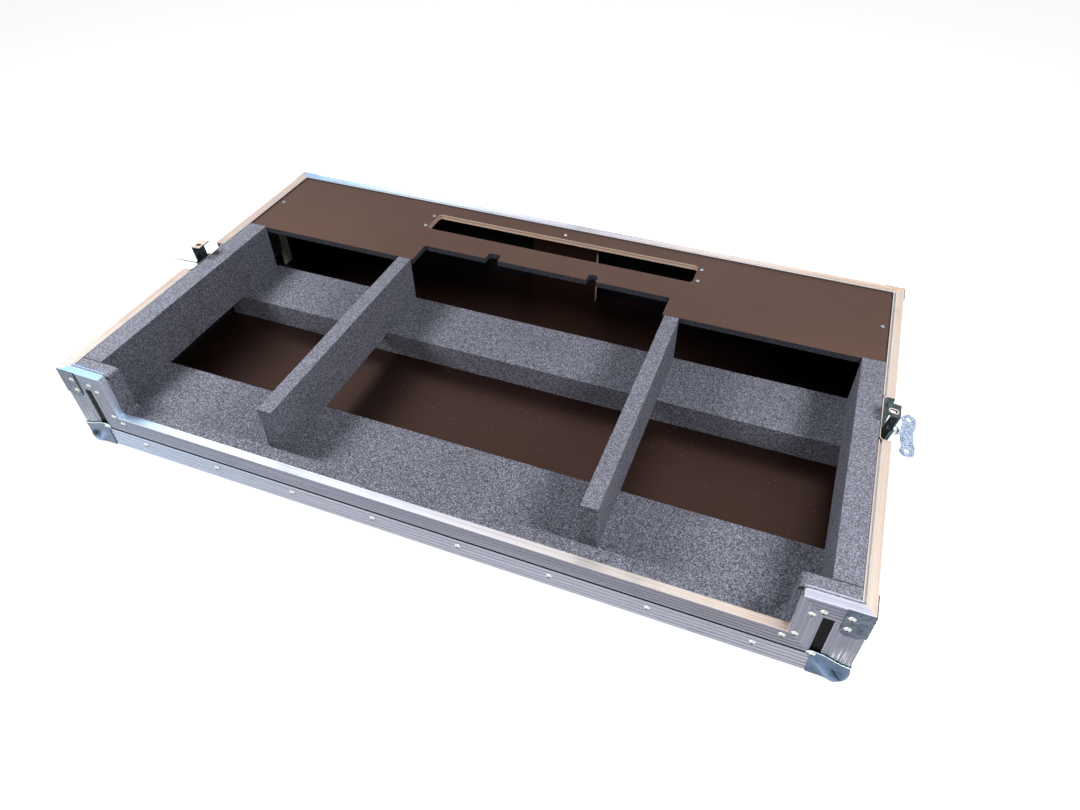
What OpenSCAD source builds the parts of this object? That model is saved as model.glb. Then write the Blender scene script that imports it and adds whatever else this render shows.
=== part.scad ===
// Base tray of a DJ flight case: plywood box in ribbed aluminium edging, stepped front,
// grey foam fittings, rear cable shelf, two butterfly latches and two spring handles.
// Frame: origin on the ground under the middle of the case, X along its length with
// the right end at +X, Y towards the back, Z up. Millimetres.

/* [Case] */
// Length over the edging
case_length = 1140; // [1060:10:1240]
// Depth over the edging
case_depth = 640; // [600:10:720]
// Height from the underside of the edging to the rim
case_height = 142; // [138:1:160]
// How far the ball corners reach below the edging
corner_drop = 4; // [3:0.5:6]
// Thickness of the plywood panels
panel_thickness = 9.5; // [9:0.1:10]

/* [Edging] */
// Wall of the aluminium edging
edging_thickness = 1.5; // [1.3:0.1:1.7]
// Leg of the bottom edging
bottom_leg = 35; // [28:1:36]
// Leg of the upright corner edging
corner_leg = 36; // [32:1:38]
// Depth of the small grooves along the edging
groove_depth = 0.5; // [0.3:0.1:0.7]
// Width of each small groove
groove_width = 1.8; // [1.2:0.1:2.2]
// Outer leg of the closing profiles
closing_leg = 28.5; // [24:0.5:29]
// Inner leg of the closing profiles
inner_leg = 11; // [8:0.5:13]
// Thickness of the inner leg
inner_leg_thickness = 1.2; // [1:0.1:1.4]
// Width of the rim on the ends and the back
rim_width = 16; // [15.5:0.1:17]
// Height of the rim's grooved head
rim_head = 9; // [8:0.5:10]
// Width of the groove that takes the lid
lid_groove_width = 2.8; // [2:0.1:3]
// Depth of the groove that takes the lid
lid_groove_depth = 5; // [3:0.5:6]
// Thickness of the rib inside that groove
rim_rib = 1.5; // [1:0.1:1.8]
// Radius of the stepped front's upper corners
step_round = 6; // [3:0.5:8]

/* [Front] */
// Height of the low front lip above the underside
lip_height = 66.5; // [65:0.5:72]
// Width of each raised block at the ends of the front
block_width = 77.5; // [74:0.5:84]

/* [Foam] */
// Gap between a foam piece and what it lies beside
foam_gap = 0.3; // [0.2:0.05:0.5]
// Distance from the rim down to the foam and the shelf
rim_step = 3; // [2:0.5:5]
// Thickness of the front foam strip
front_foam = 21.5; // [18:0.5:25]
// How far the front foam stands above the lip behind it
foam_over_lip = 0; // [-1:0.5:2]
// How far the front foam's blocks run inside the raised blocks
foam_block_lap = 5.5; // [3:0.5:8]
// Radius of the blocks' inner top corners
foam_round = 8; // [4:1:12]
// Radius where the blocks meet the low strip
foam_fillet = 10; // [6:1:14]
// Thickness of the two end foams
side_foam = 33; // [28:0.5:36]
// Thickness of the two dividers
divider_foam = 23.5; // [20:0.5:28]
// Clear width of the middle bay
middle_bay = 448; // [400:4:480]
// Top of the two low bars above the underside
low_bar_top = 54; // [46:1:58]
// Depth of the front low bar
front_bar = 109; // [90:1:120]
// Depth of the rear low bar
rear_bar = 108; // [90:1:112]
// Front edge of the rear low bar, from the middle of the case
rear_bar_front = 17; // [5:1:19]

/* [Shelf] */
// Depth of the rear shelf from its front edge to the rim behind it
shelf_depth = 183.1; // [176:0.1:188]
// Width of the recess in the shelf's front edge
recess_width = 441; // [380:1:442]
// Depth of that recess
recess_depth = 46.6; // [40:0.2:54]
// Depth of the two cable notches behind the recess
notch_depth = 18; // [12:1:22]
// Width of the left cable notch
left_notch_width = 23; // [16:1:28]
// Width of the right cable notch
right_notch_width = 17; // [12:1:24]
// Distance from the middle to the left notch's middle
left_notch_offset = 93; // [80:1:110]
// Distance from the middle to the right notch's middle
right_notch_offset = 86.5; // [76:0.5:104]
// Length of the cable slot
slot_length = 488; // [440:1:500]
// Width of the cable slot
slot_width = 51.3; // [44:0.1:54]
// Distance from the slot to the shelf's back edge
slot_back = 31; // [28:0.5:34]
// Corner radius of the slot and the notches
slot_round = 7; // [4:0.5:8]
// Width of the support board under the middle of the shelf
support_width = 122; // [100:1:140]
// Section of the battens under the ends of the shelf
batten_size = 20; // [16:1:22]
// Width of the aluminium straps under the battens
strap_width = 24; // [18:1:26]
// Thickness of those straps
strap_thickness = 2.5; // [2:0.1:3]

/* [Corners] */
// Thickness of the pressed steel of corners and braces
corner_sheet = 1.2; // [1:0.1:1.6]
// Radius of the ball on each bottom corner
ball_radius = 14.5; // [13.5:0.1:15]
// Depth of the flat on the underside of each ball
ball_flat = 1.5; // [1:0.1:2]
// Length of a ball corner's leaf along the edging
leaf_length = 52.5; // [49:0.5:55]
// Height of a ball corner's leaf
leaf_height = 47; // [43:0.5:51]
// Width of a top brace
brace_width = 30; // [26:0.5:33]
// Height of a top brace
brace_height = 48; // [42:0.5:52]

/* [Rivets] */
// Radius of a rivet head
rivet_radius = 4.7; // [4:0.1:5]
// Height of a rivet head
rivet_height = 2.2; // [1.8:0.1:2.6]
// Radius of the mandrel hole in a rivet head
mandrel_radius = 1.3; // [1:0.1:1.6]
// Distance between the rivets along the bottom edging
rivet_pitch = 131.2; // [120:0.2:136]
// Distance from the shelf's back edge to the screws at its ends
end_screw_back = 94; // [84:1:110]
// Radius of a shelf screw's head
screw_radius = 3.4; // [3:0.1:4]
// Height of a shelf screw's head
screw_height = 1.3; // [1:0.1:1.6]

/* [Latches] */
// Sheet thickness of the dishes
dish_sheet = 1.2; // [1:0.1:1.4]
// Clear width of a latch dish
latch_well_width = 87; // [86:0.5:92]
// Height of the latch dish's floor above the underside
latch_well_floor = 45; // [43.5:0.5:50]
// Corner radius of the latch dish
latch_well_round = 6; // [3:0.5:8]
// Flange of a dish on each side of its well
dish_flange = 12.5; // [11:0.5:14]
// Height of the latch hinge above the dish floor
hinge_rise = 31; // [28:0.5:34]
// Radius of the latch hinge pin
hinge_pin_radius = 2; // [1.6:0.1:2.2]
// Radius of the carrier's knuckle
knuckle_radius = 3; // [2.8:0.1:3.2]
// Running clearance of every pin in its bore
pin_clearance = 0.05; // [0.03:0.01:0.08]
// Width of the carrier plate
carrier_width = 34; // [33:0.5:37]
// Thickness of the carrier plate
carrier_thickness = 1.6; // [1.4:0.1:1.8]
// Gap between sliding and turning plates
plate_gap = 0.3; // [0.25:0.05:0.4]
// Thickness of the lugs that hold the hinge pin
lug_thickness = 2; // [1.6:0.1:2.6]
// Wall of the guides beside the hook plate
guide_wall = 1.5; // [1.2:0.1:1.7]
// Distance from the hinge to the spindle
spindle_reach = 49; // [46:0.5:51]
// Radius of the spindle in the carrier
spindle_radius = 2.2; // [1.8:0.1:2.4]
// Throw of the spindle's eccentric
eccentric_throw = 4; // [3:0.1:4.2]
// Radius of the eccentric
eccentric_radius = 5.5; // [5:0.1:5.6]
// Play of the eccentric in the hook's slot, up and down
eccentric_play = 1.2; // [1.1:0.05:1.4]
// Width of the hook plate
hook_width = 25; // [24.5:0.1:26]
// Thickness of the hook plate
hook_thickness = 1.8; // [1.6:0.1:2]
// Distance from the hinge to the hook's top with the latch pulled tight
hook_reach = 83; // [80:0.5:88]
// Depth of the hook's bent lip
hook_lip = 16; // [13:0.5:17]
// Thickness of the hub's flange
hub_flange = 1.1; // [0.9:0.1:1.3]
// Radius of the domed hub
hub_radius = 8.4; // [8:0.1:8.8]
// Span of the wing
wing_span = 83; // [78:0.5:84]
// Reach of the wing from its pin
wing_reach = 29; // [26:0.2:30]
// Thickness of the wing
wing_thickness = 1.4; // [1.2:0.1:1.6]
// Radius of the wing's two lobes
lobe_radius = 10; // [9:0.1:11]
// Radius of the hole in each lobe
lobe_hole = 3.9; // [3:0.1:4.5]
// Wall of the wing's knuckle round its pin
wing_eye_wall = 1; // [0.8:0.1:1.2]
// Radius of the wing pin
wing_pin_radius = 1.2; // [1:0.05:1.3]
// Lean of the right latch away from the case as photographed, in degrees
right_lean = 9; // [3:1:20]
// Lean of the left latch away from the case as photographed, in degrees
left_lean = 6; // [3:1:20]
// Turn of the left latch's wing as photographed, in degrees
left_turn = 140; // [0:5:180]
// Tilt of the wings above square to their plate, in degrees
wing_lift = 0; // [0:1:12]

/* [Handles] */
// Distance from the middle of the case to the middle of a handle
handle_offset = 134; // [130:0.5:136]
// Clear width of a handle dish
handle_well_width = 94; // [88:0.5:96]
// Clear height of a handle dish
handle_well_height = 56; // [52:0.5:58]
// Distance from the handle's pivot to its grip
handle_drop = 34; // [30:0.5:36]
// Radius of the rubber grip
grip_radius = 5.4; // [4.8:0.1:5.6]
// Radius of the steel rod
rod_radius = 3.2; // [2.8:0.1:3.4]
// Thickness of the handle's side arms
arm_thickness = 2; // [1.6:0.1:2.4]
// Radius of the handle's stub pins
stub_radius = 2.6; // [2.2:0.1:3]

/* [Hidden] */
$fn = 48;

// One overrun for every cut, and one reach longer than any half of the case
cut = 1;
far = case_length;

// Shares of the sizes they multiply: the hinge's gap to the dish in sheets, the wing's pin and
// knuckle in the hub, a riveted head, a rivet's tab, the eye and the axis of a handle, and how
// deep the dome sinks into its flange
hinge_gap_share = 0.6;
wing_pin_share = 0.46;
wing_knuckle_share = 0.62;
pin_half_share = 0.86;
rivet_over_share = 1.6;
tab_share = 1.5;
eye_share = 1.7;
axis_drop_share = 2.6;
dome_sink_share = 0.7;

// Shares of a leg, of the rivets' pitch, of a brace's height and width, and of a flange, where
// their rivets stand
rivet_height_share = 0.6;
end_gap_share = 0.25;
brace_drop_shares = [0.31, 0.74];
brace_rivet_share = 0.72;
flange_rivet_shares = [0.14, 0.86];
corner_rivet_shares = [[0.95, -0.68], [0.58, -1.02], [0.26, 0], [-0.18, -0.37]];

// Shares of a brace's width and straight side that are rounded off
brace_round_share = 0.3;
brace_scoop_share = 0.45;

// Shares of a screw head: its top, its cross slot's length, width and depth, and of the slot,
// the batten and the screw where the screws stand
screw_top_share = 0.7;
driver_length_share = 0.9;
driver_width_share = 0.2;
driver_floor_share = 0.4;
slot_screw_share = 2.2;
slot_pitch_share = 0.33;
batten_screw_share = 0.75;

// Shares of the hook's lip taken by its oval hole, of its width that the hole stands off the
// middle, and of its thickness by which the hole's collar stands up
oval_radius_share = 0.2;
oval_reach_share = 0.12;
oval_place_share = 0.16;
collar_share = 0.4;

// Shares of a lobe and of the span that shape the wing's neck and its hollow outer edge
lobe_side_share = 0.8;
lobe_foot_share = 0.6;
hollow_share = 0.9;
hollow_place_share = 0.96;

// Main planes
half_x = case_length / 2;
half_y = case_depth / 2;
base_z = corner_drop;
rim_z = base_z + case_height;
panel_x = half_x - edging_thickness;
panel_y = half_y - edging_thickness;
inner_x = panel_x - panel_thickness;
inner_y = panel_y - panel_thickness;
floor_z = base_z + edging_thickness + panel_thickness;
wall_top = rim_z - rim_head;
lip_z = base_z + lip_height;
leg_z = rim_z - closing_leg;
step_x = half_x - block_width;
lip_inner_y = inner_y - inner_leg_thickness;

// Foam and shelf planes
top_z = rim_z - rim_step;
rim_inner_x = half_x - rim_width;
rim_inner_y = half_y - rim_width;
foam_x = rim_inner_x - foam_gap;
bar_z = base_z + low_bar_top;
front_foam_back = -(lip_inner_y - foam_gap) + front_foam;
foam_start = front_foam_back + foam_gap;
bay_x = middle_bay / 2;
shelf_back = rim_inner_y - foam_gap;
shelf_front = shelf_back - shelf_depth;
shelf_under = top_z - panel_thickness;
slot_y = shelf_back - slot_back - slot_width / 2;
support_y = slot_y + slot_width / 2 + panel_thickness + foam_gap;
side_screw_y = shelf_back - end_screw_back;

// Dish planes, measured from the middle of the case outwards
well_back = rim_inner_x + foam_gap + dish_sheet;
flange_x = half_x - dish_sheet;
flange_low = base_z + bottom_leg + 2 * foam_gap;
flange_high = leg_z - foam_gap;
latch_half = latch_well_width / 2 + dish_sheet;
notch_half = latch_half + foam_gap;
latch_floor = base_z + latch_well_floor;

// Latch mechanism: x outwards from the hinge, y along the case, z up the carrier
hinge_x = well_back + knuckle_radius + dish_sheet * hinge_gap_share;
hinge_z = latch_floor + hinge_rise;
plate_front = carrier_thickness / 2;
hook_back = plate_front + plate_gap;
hook_front = hook_back + hook_thickness;
hub_back = hook_front + plate_gap;
hub_top = half_x + corner_drop - hinge_x;
wing_pin_x = (hub_back + hub_flange + hub_top) * wing_pin_share;
knuckle_half = hub_radius * wing_knuckle_share;
wing_knuckle = wing_pin_radius + wing_eye_wall;
guide_half = hook_width / 2 + plate_gap;
hook_travel = 2 * eccentric_throw;
left_hook_rise = hook_travel * left_turn / 180;

// Distance from the edging's faces to the middle of each ball
ball_inset = ball_radius - corner_drop - ball_flat;

// Leaf of a ball corner: radius of its tab, and its outline as shares of length and height
leaf_tab = rivet_radius * tab_share;
leaf_shares = [[0, 0], [0.87, 0], [0.88, 0.62], [0.97, 0.8], [0.86, 0.995], [0.62, 0.96], [0.4, 0.86],
    [0.2, 0.78], [0, 0.76]];

// Handle planes
handle_mid_z = (flange_low + flange_high) / 2;
handle_axis_x = half_x - grip_radius - plate_gap - dish_sheet / 2;
handle_axis_z = handle_mid_z + handle_well_height / 2 - stub_radius * axis_drop_share;
arm_outer = handle_well_width / 2 - arm_thickness;
strap_front = handle_offset + handle_well_width / 2 + dish_sheet + foam_gap;

// Small helpers

// Ridged strip: a leg of edging seen end on, with grooves along its outer side
module ridged_leg(length, thickness, grooves) {
    pitch = length / (grooves + 1);
    difference() {
        square([length, thickness]);
        for (i = [1 : grooves])
            translate([i * pitch - groove_width / 2, -groove_depth])
                square([groove_width, 2 * groove_depth]);
    }
}

// Angle of two ridged legs, its outer corner at the origin and its legs along +x and +y
module angle_section(leg_a, leg_b) {
    ridged_leg(leg_a, edging_thickness, 4);
    mirror([1, -1]) ridged_leg(leg_b, edging_thickness, 4);
}

// Section of the rim: outer face on the y axis, x inwards, top at zero
module rim_section() {
    groove_start = rim_width - rim_rib - lid_groove_width;
    difference() {
        union() {
            translate([0, -rim_head]) square([rim_width, rim_head]);
            translate([0, -closing_leg]) square([edging_thickness, closing_leg]);
            translate([edging_thickness + panel_thickness, -rim_head - inner_leg])
                square([inner_leg_thickness, inner_leg + rim_head]);
        }
        translate([groove_start, -lid_groove_depth])
            square([lid_groove_width, lid_groove_depth + cut]);
        for (i = [1 : 3])
            translate([groove_start * i / 4 - groove_width / 2, -groove_depth])
                square([groove_width, 2 * groove_depth]);
        for (i = [1 : 4])
            translate([-groove_depth, -closing_leg * i / 5 - groove_width / 2])
                square([2 * groove_depth, groove_width]);
    }
}

// Section of the plain cap on the low lip and the steps, placed as the rim's
module cap_section() {
    difference() {
        union() {
            translate([0, -edging_thickness])
                square([edging_thickness + panel_thickness + inner_leg_thickness, edging_thickness]);
            translate([0, -closing_leg]) square([edging_thickness, closing_leg]);
            translate([edging_thickness + panel_thickness, -inner_leg])
                square([inner_leg_thickness, inner_leg]);
        }
        for (i = [1 : 4])
            translate([-groove_depth, -closing_leg * i / 5 - groove_width / 2])
                square([2 * groove_depth, groove_width]);
        for (i = [1 : 2])
            translate([panel_thickness * i / 2, -groove_depth])
                square([groove_width, 2 * groove_depth]);
    }
}

// Run a section along x from one place to the other, its outer side facing the front
module front_run(from_x, to_x) {
    translate([from_x, 0, 0]) rotate([90, 0, 90]) linear_extrude(to_x - from_x) children();
}

// A rim bar along y with both ends mitred, its outer face on the plane x = 0
module rim_bar(length) {
    difference() {
        translate([0, length / 2, 0]) rotate([90, 0, 0]) linear_extrude(length)
            mirror([1, 0]) rim_section();
        for (end = [-1, 1])
            scale([1, end, 1]) translate([0, length / 2, -closing_leg - cut])
                rotate([0, 0, 45]) translate([-far, 0, 0]) cube([2 * far, far, 2 * closing_leg]);
    }
}

// Rounded rectangle by its middle, size and corner radius
module round_plate(width, height, radius) {
    square([width - 2 * radius, height], center = true);
    square([width, height - 2 * radius], center = true);
    for (x = [-1, 1], y = [-1, 1])
        translate([x * (width / 2 - radius), y * (height / 2 - radius)]) circle(radius);
}

// Domed blind rivet head standing on the plane z = 0
module rivet_head() {
    dome = (rivet_radius * rivet_radius + rivet_height * rivet_height) / (2 * rivet_height);
    difference() {
        intersection() {
            translate([0, 0, rivet_height - dome]) sphere(dome);
            cylinder(h = rivet_height, r = rivet_radius);
        }
        translate([0, 0, rivet_height / 2]) cylinder(h = rivet_height, r = mandrel_radius);
    }
}

// Rivets on the front face at a list of [x, z] places, or further out on a steel sheet
module front_rivets(places, lift = 0) {
    for (p = places)
        translate([p[0], -half_y - lift, p[1]]) rotate([90, 0, 0]) rivet_head();
}

// Children as drawn for the right end, or mirrored for the left
module on_side(side) {
    if (side > 0) children();
    else mirror([1, 0, 0]) children();
}

// Children as drawn for the front right corner, at one of the four corners
module at_corner(side, back) {
    scale([side, back, 1]) children();
}

// Plywood box

module floor_panel() {
    color([0.16, 0.11, 0.09])
        translate([-inner_x, -inner_y, base_z + edging_thickness])
            cube([2 * inner_x, 2 * inner_y, panel_thickness]);
}

// Outline of the stepped front: low in the middle, raised at both ends
module front_panel() {
    low = base_z + edging_thickness;
    rise_x = step_x + edging_thickness;
    color([0.07, 0.07, 0.08])
        translate([0, -inner_y, 0]) rotate([90, 0, 0]) linear_extrude(panel_thickness)
            polygon([[-panel_x, low], [panel_x, low], [panel_x, wall_top], [rise_x, wall_top],
                [rise_x, lip_z - edging_thickness], [-rise_x, lip_z - edging_thickness],
                [-rise_x, wall_top], [-panel_x, wall_top]]);
}

module rear_panel() {
    low = base_z + edging_thickness;
    color([0.07, 0.07, 0.08])
        translate([-panel_x, inner_y, low]) cube([2 * panel_x, panel_thickness, wall_top - low]);
}

// End wall with the openings for the latch dish and the handle dish
module end_panel(side) {
    low = base_z + edging_thickness;
    open_low = latch_floor - dish_sheet - foam_gap;
    color([0.07, 0.07, 0.08]) on_side(side)
        difference() {
            translate([inner_x, -inner_y, low])
                cube([panel_thickness, 2 * inner_y, wall_top - low]);
            translate([inner_x - cut, -notch_half, open_low])
                cube([panel_thickness + 2 * cut, 2 * notch_half, wall_top]);
            translate([inner_x - cut, handle_offset, handle_mid_z]) rotate([90, 0, 90])
                linear_extrude(panel_thickness + 2 * cut)
                    square([handle_well_width + 2 * (dish_sheet + foam_gap),
                        handle_well_height + 2 * (dish_sheet + foam_gap)], center = true);
        }
}

// Rear shelf: recess with two cable notches in front, long cable slot behind
module rear_shelf() {
    back_of_recess = shelf_front + recess_depth;
    color([0.33, 0.26, 0.22])
        translate([0, 0, shelf_under]) linear_extrude(panel_thickness)
            difference() {
                translate([-foam_x, shelf_front]) square([2 * foam_x, shelf_back - shelf_front]);
                translate([-recess_width / 2, shelf_front - cut])
                    square([recess_width, recess_depth + cut]);
                translate([-left_notch_offset, back_of_recess])
                    round_plate(left_notch_width, 2 * notch_depth, slot_round);
                translate([right_notch_offset, back_of_recess])
                    round_plate(right_notch_width, 2 * notch_depth, slot_round);
                translate([0, slot_y]) round_plate(slot_length, slot_width, slot_round);
            }
}

// Battens that carry the two ends of the shelf, rebated where the rims' inner legs hang
module shelf_battens() {
    rebate = inner_leg_thickness + foam_gap;
    leg_low = wall_top - inner_leg - foam_gap;
    color([0.09, 0.08, 0.08])
        for (side = [-1, 1]) on_side(side)
            difference() {
                translate([inner_x - batten_size, strap_front, shelf_under - batten_size])
                    cube([batten_size, inner_y - strap_front, batten_size]);
                translate([inner_x - rebate, 0, leg_low]) cube([panel_thickness, half_y, rim_z]);
                translate([0, inner_y - rebate, leg_low]) cube([half_x, panel_thickness, rim_z]);
            }
}

// Board on edge that carries the middle of the shelf
module shelf_support_board() {
    color([0.09, 0.08, 0.08])
        translate([-support_width / 2, support_y, floor_z])
            cube([support_width, panel_thickness, shelf_under - floor_z]);
}

// Ribbed aluminium straps on the end walls, from the floor up to the battens
module batten_straps() {
    color("silver")
        for (side = [-1, 1]) on_side(side)
            translate([inner_x, strap_front, floor_z])
                linear_extrude(shelf_under - batten_size - floor_z)
                    translate([-strap_thickness, 0]) mirror([1, -1])
                        ridged_leg(strap_width, strap_thickness, 3);
}

// Aluminium edging

// Bottom angle along the front, between the upright edging
module bottom_edging_long(back) {
    run = half_x - corner_leg - foam_gap;
    color("silver") scale([1, back, 1])
        translate([0, -half_y, base_z]) front_run(-run, run) angle_section(bottom_leg, bottom_leg);
}

module bottom_edging_end(side) {
    run = half_y - corner_leg - foam_gap;
    color("silver") on_side(side)
        translate([half_x, 0, base_z]) rotate([0, 0, 90]) front_run(-run, run)
            angle_section(bottom_leg, bottom_leg);
}

// Upright angle on a corner, up to the legs of the closing profiles
module corner_edging(side, back) {
    color("silver") at_corner(side, back)
        translate([half_x, -half_y, base_z]) rotate([0, 0, 90])
            linear_extrude(leg_z - foam_gap - base_z)
                angle_section(corner_leg, corner_leg);
}

// Rim on one end, cut away where the latch dish breaks through it
module rim_end(side) {
    color("gainsboro") on_side(side)
        difference() {
            translate([half_x, 0, rim_z]) rim_bar(case_depth);
            translate([rim_inner_x - cut, -notch_half, leg_z - cut])
                cube([rim_width + 2 * cut, 2 * notch_half, closing_leg + 2 * cut]);
        }
}

module rim_rear() {
    color("gainsboro")
        translate([0, half_y, rim_z]) rotate([0, 0, 90]) rim_bar(case_length);
}

// Half-space below a 45 degree line through a place on the front, as a cutter
module mitre_below(x, z) {
    translate([x, -half_y - cut, z]) rotate([0, 45, 0])
        translate([-far, 0, -far]) cube([2 * far, 4 * rim_width, far]);
}

// What lies outside the rounded upper corner of a raised block
module step_corner_cut() {
    translate([step_x, -half_y - cut, rim_z]) rotate([-90, 0, 0])
        linear_extrude(rim_width + 2 * cut)
            difference() {
                translate([-cut, -cut]) square([step_round + cut, step_round + cut]);
                translate([step_round, step_round]) circle(step_round);
            }
}

// Low lip cap, mitred into the two step profiles
module front_lip() {
    run = step_x + closing_leg;
    color("gainsboro")
        difference() {
            translate([0, -half_y, lip_z]) front_run(-run, run) cap_section();
            for (side = [-1, 1]) on_side(side)
                translate([step_x, -half_y - cut, lip_z]) rotate([0, 45, 0])
                    cube([far, 4 * rim_width, far]);
        }
}

// Upright caps on the sides of the raised blocks
module step_profiles() {
    color("gainsboro")
        for (side = [-1, 1]) on_side(side)
            difference() {
                translate([step_x, -half_y, lip_z - closing_leg]) rotate([0, 0, 90])
                    mirror([0, 1, 0]) linear_extrude(rim_z - lip_z + closing_leg)
                        mirror([0, 1]) cap_section();
                mitre_below(step_x, lip_z);
                translate([step_x, -half_y - cut, rim_z]) rotate([0, 45, 0])
                    translate([-far, 0, 0]) cube([2 * far, 4 * rim_width, far]);
                step_corner_cut();
            }
}

// Grooved caps on top of the raised blocks
module block_caps() {
    color("gainsboro")
        for (side = [-1, 1]) on_side(side)
            difference() {
                translate([0, -half_y, rim_z]) front_run(step_x, half_x) rim_section();
                mitre_below(step_x, rim_z);
                translate([half_x, -half_y, leg_z - cut]) rotate([0, 0, 45])
                    translate([0, -far, 0]) cube([far, 2 * far, 2 * closing_leg]);
                step_corner_cut();
            }
}

// Steel corners

// Outline of one leaf of a ball corner: falling towards the corner, with a round rivet tab
module leaf_outline() {
    difference() {
        polygon([for (share = leaf_shares) [share[0] * leaf_length, share[1] * leaf_height]]);
        leaf_corner();
    }
    translate([leaf_length - leaf_tab, leaf_height - leaf_tab]) circle(leaf_tab);
}

// What the rounding under the ball takes off a leaf's corner
module leaf_corner() {
    difference() {
        translate([-cut, -cut]) square(ball_inset + corner_sheet + cut);
        translate([ball_inset + corner_sheet, ball_inset + corner_sheet])
            circle(ball_inset + corner_sheet);
    }
}

// Pressed corner of three leaves round a ball, open where the case sits in it
module ball_corner(side, back) {
    color("lightsteelblue") at_corner(side, back)
        difference() {
            union() {
                translate([half_x + corner_sheet, -half_y, base_z - corner_sheet])
                    mirror([1, 0, 0]) rotate([90, 0, 0]) linear_extrude(corner_sheet) leaf_outline();
                translate([half_x, -half_y - corner_sheet, base_z - corner_sheet])
                    rotate([90, 0, 90]) linear_extrude(corner_sheet) leaf_outline();
                translate([half_x + corner_sheet, -half_y - corner_sheet, base_z - corner_sheet])
                    mirror([1, 0, 0]) linear_extrude(corner_sheet)
                        difference() {
                            square(bottom_leg);
                            leaf_corner();
                        }
                translate([half_x - ball_inset, -half_y + ball_inset, base_z + ball_inset])
                    sphere(ball_radius);
            }
            translate([0, -half_y, base_z]) cube([half_x, half_y, rim_z]);
            translate([0, -far, -far]) cube([far, far, far]);
        }
}

// Outline of a top brace on one face: rounded at its low outer corner
module brace_outline() {
    round_off = brace_width * brace_round_share;
    low = brace_height - 2 * round_off;
    difference() {
        union() {
            translate([0, -brace_height]) square([brace_width - round_off, brace_height]);
            translate([0, -brace_height + round_off]) square([brace_width, brace_height - round_off]);
            translate([brace_width - round_off, -brace_height + round_off]) circle(round_off);
        }
        translate([0, -brace_height - low * brace_round_share]) circle(low * brace_scoop_share);
    }
}

// Pair of folded braces over the top corners
module top_braces(back) {
    color("lightsteelblue")
        for (side = [-1, 1]) at_corner(side, back) {
            translate([half_x + corner_sheet, -half_y, rim_z]) mirror([1, 0, 0]) rotate([90, 0, 0])
                linear_extrude(corner_sheet) brace_outline();
            translate([half_x, -half_y, rim_z]) rotate([90, 0, 90])
                linear_extrude(corner_sheet) brace_outline();
        }
}

// Foam

// Front strip: low behind the lip, raised and rounded behind the end blocks
module foam_front() {
    block_x = step_x - foam_block_lap;
    low_z = lip_z - edging_thickness + foam_over_lip;
    color("dimgray")
        difference() {
            translate([0, front_foam_back, 0]) rotate([90, 0, 0]) linear_extrude(front_foam) {
                translate([-foam_x, floor_z]) square([2 * foam_x, low_z - floor_z]);
                for (side = [-1, 1]) scale([side, 1]) {
                    translate([block_x + foam_round, floor_z])
                        square([foam_x - block_x - foam_round, top_z - floor_z]);
                    translate([block_x, floor_z])
                        square([foam_round, top_z - foam_round - floor_z]);
                    translate([block_x + foam_round, top_z - foam_round]) circle(foam_round);
                    difference() {
                        translate([block_x - foam_fillet, low_z]) square(foam_fillet);
                        translate([block_x - foam_fillet, low_z + foam_fillet]) circle(foam_fillet);
                    }
                }
            }
            translate([-half_x, -half_y, wall_top - foam_gap])
                cube([case_length, rim_width + foam_gap, rim_z]);
        }
}

// Foam on one end wall, standing on the two low bars
module foam_side(side) {
    color("dimgray") on_side(side)
        translate([foam_x - side_foam, foam_start, bar_z])
            cube([side_foam, shelf_front - foam_gap - foam_start, top_z - bar_z]);
}

// Divider, standing on the two low bars
module foam_divider(side) {
    color("dimgray") on_side(side)
        translate([bay_x, foam_start, bar_z])
            cube([divider_foam, shelf_front - foam_gap - foam_start, top_z - bar_z]);
}

module foam_low_front() {
    color("dimgray")
        translate([-foam_x, foam_start, floor_z])
            cube([2 * foam_x, front_bar, bar_z - floor_z]);
}

module foam_low_rear() {
    color("dimgray")
        translate([-foam_x, rear_bar_front, floor_z])
            cube([2 * foam_x, rear_bar, bar_z - floor_z]);
}

// Rivets and screws

rivet_z = base_z + bottom_leg * rivet_height_share;
rivet_margin = leaf_length + rivet_pitch * end_gap_share;
function rivet_row(half) =
    let (last = floor(2 * (half - rivet_margin) / rivet_pitch))
    [for (i = [0 : last]) [(i - last / 2) * rivet_pitch, rivet_z]];
long_rivets = rivet_row(half_x);
end_rivets = rivet_row(half_y);
leaf_rivet = [half_x + corner_sheet - leaf_length + leaf_tab,
    base_z - corner_sheet + leaf_height - leaf_tab];
brace_rivets = [for (drop = brace_drop_shares)
    [half_x - brace_width * brace_rivet_share, rim_z - brace_height * drop]];
corner_rivets = [for (i = [0 : 3]) [step_x + closing_leg * corner_rivet_shares[i][0],
    (i < 2 ? rim_z : lip_z) + closing_leg * corner_rivet_shares[i][1]]];

module rivets_front() {
    color("white") {
        front_rivets(long_rivets);
        for (side = [-1, 1]) scale([side, 1, 1]) {
            front_rivets(corner_rivets);
            front_rivets([leaf_rivet], corner_sheet);
            front_rivets(brace_rivets, corner_sheet);
        }
    }
}

module rivets_rear() {
    color("white") scale([1, -1, 1]) {
        front_rivets(long_rivets);
        for (side = [-1, 1]) scale([side, 1, 1]) {
            front_rivets([leaf_rivet], corner_sheet);
            front_rivets(brace_rivets, corner_sheet);
        }
    }
}

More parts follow.
